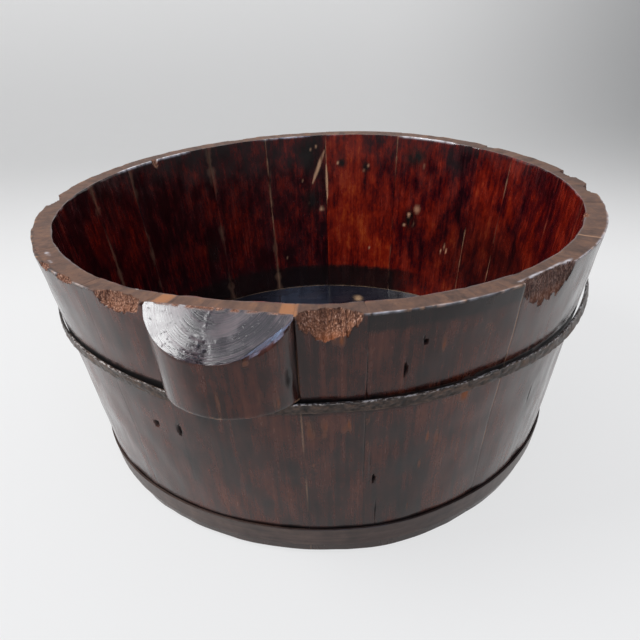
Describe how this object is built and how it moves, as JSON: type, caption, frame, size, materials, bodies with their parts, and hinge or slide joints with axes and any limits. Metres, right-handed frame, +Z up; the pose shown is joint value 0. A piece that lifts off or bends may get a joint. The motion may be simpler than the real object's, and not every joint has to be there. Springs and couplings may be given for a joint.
{
  "type": "coopered wooden tub",
  "caption": "Round tapered wooden tub of lacquered staves on a boarded bottom, with two carved lugs to lift it by and two iron hoops, for washing or carrying.",
  "frame": {"origin": "on the tub's axis, on the surface that the stave ends stand on", "axes": "+Z up along the tub's axis, -Y towards the viewer of the picture, +X to the viewer's right"},
  "size_m": [0.5196, 0.5552, 0.235],
  "materials": {
    "stave_lacquer": "worn red-brown lacquer over vertical grain, glossy, rubbed through at the edges",
    "floor_lacquer": "dark glossy lacquer",
    "bamboo": "bare split bamboo",
    "strap_iron": "rough grey-green oxidised strap iron",
    "lacquered_iron": "smooth brown lacquer over strap iron",
    "rivet_iron": "dark hammered iron"
  },
  "bodies": {
    "root": {"stave_01_front_lug": "stave_lacquer", "stave_02": "stave_lacquer", "stave_03": "stave_lacquer", "stave_04": "stave_lacquer", "stave_05": "stave_lacquer", "stave_06": "stave_lacquer", "stave_07": "stave_lacquer", "stave_08": "stave_lacquer", "stave_09": "stave_lacquer", "stave_10_back_lug": "stave_lacquer", "stave_11": "stave_lacquer", "stave_12": "stave_lacquer", "stave_13": "stave_lacquer", "stave_14": "stave_lacquer", "stave_15": "stave_lacquer", "stave_16": "stave_lacquer", "stave_17": "stave_lacquer", "stave_18": "stave_lacquer", "stave_pin_01": "bamboo", "stave_pin_02": "bamboo", "stave_pin_03": "bamboo", "stave_pin_04": "bamboo", "stave_pin_05": "bamboo", "stave_pin_06": "bamboo", "stave_pin_07": "bamboo", "stave_pin_08": "bamboo", "stave_pin_09": "bamboo", "stave_pin_10": "bamboo", "stave_pin_11": "bamboo", "stave_pin_12": "bamboo", "stave_pin_13": "bamboo", "stave_pin_14": "bamboo", "stave_pin_15": "bamboo", "stave_pin_16": "bamboo", "stave_pin_17": "bamboo", "stave_pin_18": "bamboo", "bottom_board_1": "floor_lacquer", "bottom_board_2": "floor_lacquer", "bottom_board_3": "floor_lacquer", "bottom_board_4": "floor_lacquer", "bottom_board_5": "floor_lacquer", "board_pin_1": "bamboo", "board_pin_2": "bamboo", "board_pin_3": "bamboo", "board_pin_4": "bamboo", "board_pin_5": "bamboo", "board_pin_6": "bamboo", "board_pin_7": "bamboo", "board_pin_8": "bamboo", "upper_hoop": "strap_iron", "upper_hoop_rivet_1": "rivet_iron", "upper_hoop_rivet_2": "rivet_iron", "lower_hoop": "lacquered_iron", "lower_hoop_rivet_1": "rivet_iron", "lower_hoop_rivet_2": "rivet_iron"}
  },
  "joints": []
}
